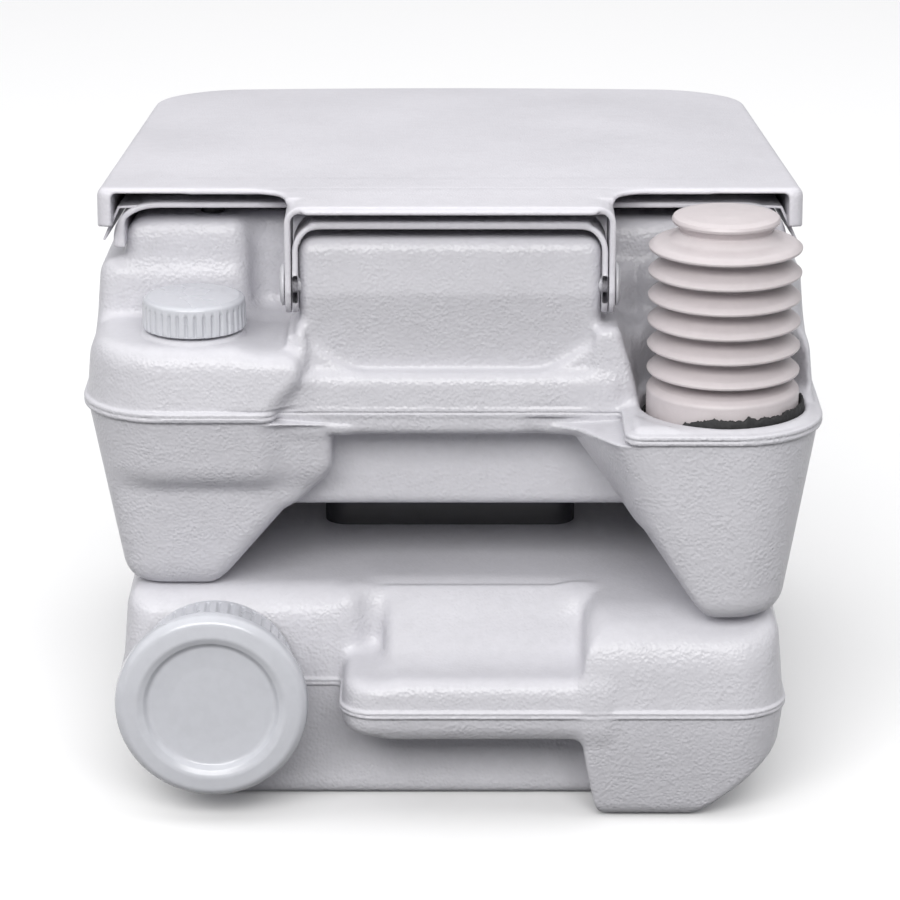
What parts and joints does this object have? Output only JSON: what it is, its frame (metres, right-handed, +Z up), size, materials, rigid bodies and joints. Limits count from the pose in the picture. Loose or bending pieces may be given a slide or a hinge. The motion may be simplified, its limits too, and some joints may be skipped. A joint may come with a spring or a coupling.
{
  "type": "portable camp toilet",
  "caption": "Two-tank portable flush toilet: hinged lid and seat, bellows pump, screw filler cap, slide valve and a waste tank with a capped pouring spout",
  "frame": {"origin": "middle of the bounding box in X and Y, on the floor", "axes": "+Z up, +Y from the hinge side to the knees side, +X to the right of somebody who faces the hinge side"},
  "size_m": [0.366, 0.415, 0.3086],
  "materials": {
    "tank": "fine pebble-grained polyethylene, light cool grey",
    "panel": "smooth satin polypropylene, light cool grey",
    "cap": "smooth glossy polypropylene, light grey",
    "bowl": "smooth glossy polypropylene",
    "bellows": "soft satin elastomer, warm grey",
    "pump_plastic": "satin plastic, warm grey",
    "seal": "matt black rubber",
    "valve": "dark grey moulded plastic",
    "handle": "satin grey plastic",
    "pin": "satin grey plastic",
    "steel": "brushed stainless steel",
    "hose": "translucent grey silicone hose"
  },
  "bodies": {
    "waste_unit": {"waste_tank_top_shell": "tank", "waste_tank_bottom_shell": "tank", "valve_frame": "valve", "valve_screws": "steel", "outlet_lip_seal": "seal", "blade_seal": "seal", "spout_neck": "cap", "spout_neck_seal": "seal", "latch_pins": "steel"},
    "valve_slide": {"valve_blade": "valve", "valve_handle": "handle"},
    "spout_gasket": {"spout_cap_gasket": "seal"},
    "spout_cap": {"spout_cap": "cap"},
    "latch_left": {"latch_left": "panel"},
    "latch_right": {"latch_right": "panel"},
    "fresh_unit": {"fresh_tank_top_shell": "tank", "fresh_tank_bottom_shell": "tank", "bowl": "bowl", "flush_nozzle": "cap", "flush_hose": "hose", "pump_collar": "pump_plastic", "pump_valve_body": "pump_plastic", "pump_check_flap": "seal", "pump_dip_tube": "hose", "hinge_pin_left": "pin", "hinge_pin_right": "pin"},
    "pump": {"pump_button": "pump_plastic", "pump_bellows": "bellows"},
    "seat": {"seat_ring": "panel", "seat_buffers": "seal"},
    "lid": {"lid_panel": "panel", "lid_buffers": "seal"},
    "fill_gasket": {"fill_cap_gasket": "seal"},
    "fill_cap": {"fill_cap": "cap"}
  },
  "joints": [
    {"name": "fresh_lift", "type": "slide", "parent": "waste_unit", "child": "fresh_unit", "axis": [0, 0, 1], "range_m": [0, 0.22]},
    {"name": "valve_pull", "type": "slide", "parent": "waste_unit", "child": "valve_slide", "axis": [0, 1, 0], "range_m": [0, 0.086]},
    {"name": "spout_cap_out", "type": "slide", "parent": "waste_unit", "child": "spout_gasket", "axis": [0, -1, 0], "range_m": [0, 0.012]},
    {"name": "spout_cap_turn", "type": "hinge", "parent": "spout_gasket", "child": "spout_cap", "pos_m": [-0.118, -0.18, 0.063], "axis": [0, -1, 0], "range_deg": [0, 720]},
    {"name": "latch_left_swing", "type": "hinge", "parent": "waste_unit", "child": "latch_left", "pos_m": [-0.1695, 0, 0.086], "axis": [0, -1, 0], "range_deg": [0, 110]},
    {"name": "latch_right_swing", "type": "hinge", "parent": "waste_unit", "child": "latch_right", "pos_m": [0.1695, 0, 0.086], "axis": [0, 1, 0], "range_deg": [0, 110]},
    {"name": "pump_press", "type": "slide", "parent": "fresh_unit", "child": "pump", "axis": [0, 0, -1], "range_m": [0, 0.045], "stiffness_N_per_m": 400, "springref_m": -0.01, "deforming": ["pump_bellows"]},
    {"name": "seat_hinge", "type": "hinge", "parent": "fresh_unit", "child": "seat", "pos_m": [0, -0.15, 0.2655], "axis": [-1, 0, 0], "range_deg": [-95, 0]},
    {"name": "lid_hinge", "type": "hinge", "parent": "seat", "child": "lid", "pos_m": [0, -0.15, 0.2655], "axis": [1, 0, 0], "range_deg": [0, 95]},
    {"name": "fill_cap_up", "type": "slide", "parent": "fresh_unit", "child": "fill_gasket", "axis": [0, 0, 1], "range_m": [0, 0.008]},
    {"name": "fill_cap_turn", "type": "hinge", "parent": "fill_gasket", "child": "fill_cap", "pos_m": [-0.127, -0.132, 0.245], "axis": [0, 0, 1], "range_deg": [0, 720]}
  ],
  "couplings": [
    {"joint": "spout_cap_out", "follows": "spout_cap_turn", "m_per_rad": 0.00095},
    {"joint": "fill_cap_up", "follows": "fill_cap_turn", "m_per_rad": 0.000635}
  ]
}
